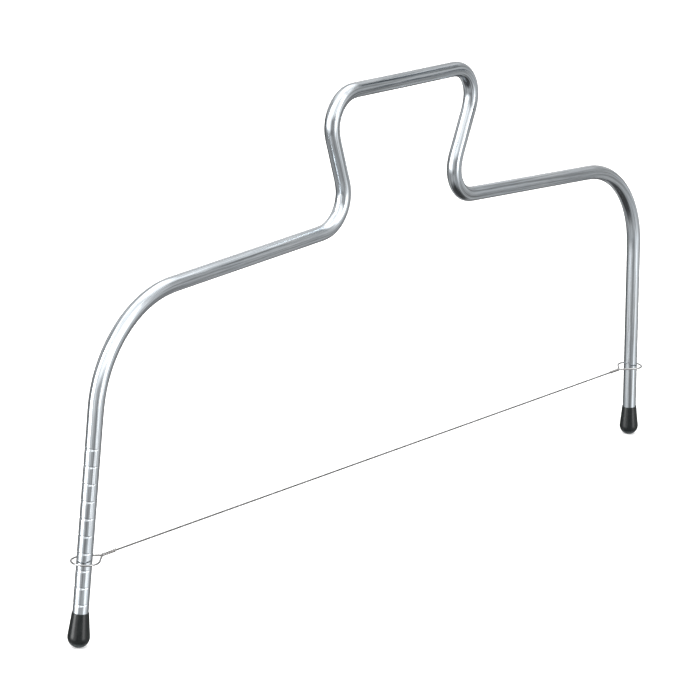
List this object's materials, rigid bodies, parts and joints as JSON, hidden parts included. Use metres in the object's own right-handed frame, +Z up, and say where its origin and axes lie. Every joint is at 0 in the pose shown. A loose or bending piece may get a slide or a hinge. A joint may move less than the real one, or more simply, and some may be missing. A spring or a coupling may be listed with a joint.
{
  "type": "cake leveler",
  "caption": "Hand-held cake leveler: a bow bent from a single plated steel rod, with an adjustable cutting wire between its grooved legs and soft caps on its feet.",
  "frame": {"origin": "on the board, midway between the two feet", "axes": "+X along the cutting wire to the right foot, +Z up to the handle, +Y away from the user"},
  "size_m": [0.313, 0.0094, 0.1594],
  "materials": {
    "rod": "bright plating over drawn steel rod, with faint lines along it",
    "cap": "satin black soft vinyl",
    "wire": "plain hard-drawn stainless wire"
  },
  "bodies": {
    "bow": {"bow_frame": "rod", "left_foot_cap": "cap", "right_foot_cap": "cap"},
    "wire": {"cutting_wire": "wire", "left_wire_eye": "wire", "right_wire_eye": "wire"}
  },
  "joints": [
    {"name": "wire_height", "type": "slide", "parent": "bow", "child": "wire", "axis": [0, 0, 1], "range_m": [-0.01363, 0.03541]}
  ]
}
